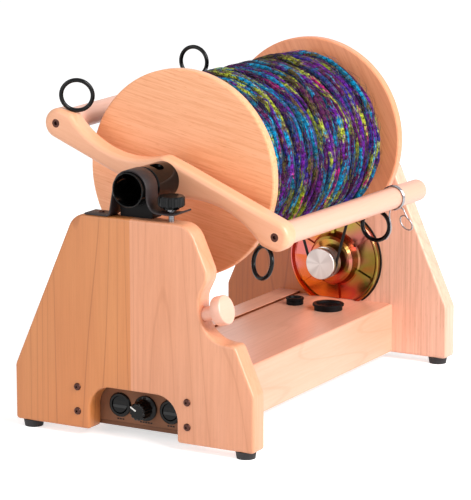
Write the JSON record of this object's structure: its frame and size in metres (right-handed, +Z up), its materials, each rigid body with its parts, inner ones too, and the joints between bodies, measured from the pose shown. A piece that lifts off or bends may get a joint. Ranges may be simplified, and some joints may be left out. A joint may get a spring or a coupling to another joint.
{
  "type": "electric spinning wheel",
  "caption": "Table-top electric spinning wheel: wooden end panels on a motor box, a free S-armed flyer with sliding hooks, a belt-driven bobbin of wound yarn and a leather drag brake",
  "frame": {"origin": "centre of the floor area, on the surface that the feet stand on", "axes": "+Y runs along the flyer axis from the orifice to the rear bearing, +X to the right as seen from the orifice, +Z up"},
  "size_m": [0.3446, 0.5232, 0.4081],
  "materials": {
    "lacquered_beech": "lacquered beech, satin",
    "turned_beech": "lacquered beech, turned",
    "flange_veneer": "lacquered veneer",
    "moulded_black": "moulded black plastic",
    "gloss_black": "polished black plastic",
    "control_laminate": "brown laminate",
    "circuit_laminate": "solder-masked laminate",
    "foot_rubber": "moulded rubber",
    "belt_rubber": "stretch cord",
    "bronzed_screws": "dark bronzed",
    "brake_leather": "dark oiled leather",
    "bright_steel": "polished steel",
    "turned_aluminium": "turned face",
    "yellow_zinc": "yellow zinc plating",
    "motor_steel": "dark painted",
    "art_yarn": "hand-spun wool"
  },
  "bodies": {
    "base": {"front_panel": "lacquered_beech", "rear_panel": "lacquered_beech", "box_top": "lacquered_beech", "top_strip": "lacquered_beech", "box_right_side": "lacquered_beech", "box_left_side": "lacquered_beech", "box_bottom": "lacquered_beech", "control_board": "control_laminate", "circuit_board": "circuit_laminate", "speed_pot": "moulded_black", "power_switch_body": "gloss_black", "direction_switch_body": "gloss_black", "feet": "foot_rubber", "front_panel_screws": "bronzed_screws", "rear_panel_screws": "bronzed_screws", "saddle_block": "moulded_black", "tension_strap": "brake_leather", "strap_screw": "bronzed_screws", "tension_stud": "bright_steel", "rear_bearing_block": "moulded_black", "rear_bearing": "bright_steel", "motor_cap": "yellow_zinc", "motor_can": "motor_steel", "power_inlet": "moulded_black", "drive_belt": "belt_rubber"},
    "flyer": {"flyer_arm": "turned_beech", "orifice_tube": "gloss_black", "outlet_collar": "gloss_black", "rod_left": "turned_beech", "rod_right": "turned_beech", "rod_screws": "bronzed_screws", "arm_ring_left": "gloss_black", "arm_ring_right": "gloss_black", "flyer_shaft": "bright_steel"},
    "bobbin": {"front_flange": "flange_veneer", "rear_flange": "flange_veneer", "bobbin_core": "lacquered_beech", "bobbin_bushes": "moulded_black", "drive_whorl": "lacquered_beech", "yarn_core": "art_yarn", "yarn_winding": "art_yarn"},
    "motor_drive": {"motor_pulley": "turned_aluminium", "motor_shaft": "bright_steel"},
    "hook_right": {"hook_right_clip": "bright_steel", "hook_right_ring": "gloss_black"},
    "hook_left": {"hook_left_clip": "bright_steel", "hook_left_ring": "gloss_black"},
    "brake_carrier": {"brake_washer": "bright_steel"},
    "brake_screw": {"brake_knob": "moulded_black"},
    "speed_control": {"speed_knob": "moulded_black", "speed_spindle": "bright_steel"},
    "power_toggle": {"power_rocker": "gloss_black"},
    "direction_toggle": {"direction_rocker": "gloss_black"},
    "threading_hook": {"hook_handle": "turned_beech", "hook_wire": "bright_steel"},
    "reducer_small": {"small_reducer": "moulded_black"},
    "reducer_large": {"large_reducer": "moulded_black"}
  },
  "joints": [
    {"name": "flyer_spin", "type": "hinge", "parent": "base", "child": "flyer", "pos_m": [0, 0, 0.2887], "axis": [0, 1, 0], "continuous": true},
    {"name": "bobbin_spin", "type": "hinge", "parent": "base", "child": "bobbin", "pos_m": [0, 0, 0.2887], "axis": [0, 1, 0], "continuous": true},
    {"name": "motor_spin", "type": "hinge", "parent": "base", "child": "motor_drive", "pos_m": [0.003, 0, 0.122], "axis": [0, 1, 0], "continuous": true},
    {"name": "hook_right_slide", "type": "slide", "parent": "flyer", "child": "hook_right", "axis": [0.0213, 0.9997, -0.0078], "range_m": [-0.25, 0.055]},
    {"name": "hook_left_slide", "type": "slide", "parent": "flyer", "child": "hook_left", "axis": [-0.0213, 0.9997, 0.0078], "range_m": [-0.25, 0.055]},
    {"name": "brake_rise", "type": "slide", "parent": "base", "child": "brake_carrier", "axis": [0, 0, 1], "range_m": [0, 0.008]},
    {"name": "brake_turn", "type": "hinge", "parent": "brake_carrier", "child": "brake_screw", "pos_m": [0.0455, -0.2431, 0.27], "axis": [0, 0, 1], "range_deg": [0, 2880]},
    {"name": "speed_turn", "type": "hinge", "parent": "base", "child": "speed_control", "pos_m": [0.0035, -0.2356, 0.0353], "axis": [0, 1, 0], "range_deg": [-90, 210]},
    {"name": "power_rock", "type": "hinge", "parent": "base", "child": "power_toggle", "pos_m": [-0.03, -0.2286, 0.0353], "axis": [1, 0, 0], "range_deg": [0, 16]},
    {"name": "direction_rock", "type": "hinge", "parent": "base", "child": "direction_toggle", "pos_m": [0.036, -0.2286, 0.0353], "axis": [1, 0, 0], "range_deg": [0, 16]},
    {"name": "hook_pull", "type": "slide", "parent": "base", "child": "threading_hook", "axis": [0.9553, 0, 0.2957], "range_m": [0, 0.06]},
    {"name": "small_reducer_lift", "type": "slide", "parent": "base", "child": "reducer_small", "axis": [0, 0, 1], "range_m": [0, 0.04]},
    {"name": "large_reducer_lift", "type": "slide", "parent": "base", "child": "reducer_large", "axis": [0, 0, 1], "range_m": [0, 0.02]}
  ],
  "couplings": [
    {"joint": "motor_spin", "follows": "bobbin_spin", "ratio": 3.7143},
    {"joint": "brake_rise", "follows": "brake_turn", "m_per_rad": 0.00015915}
  ]
}
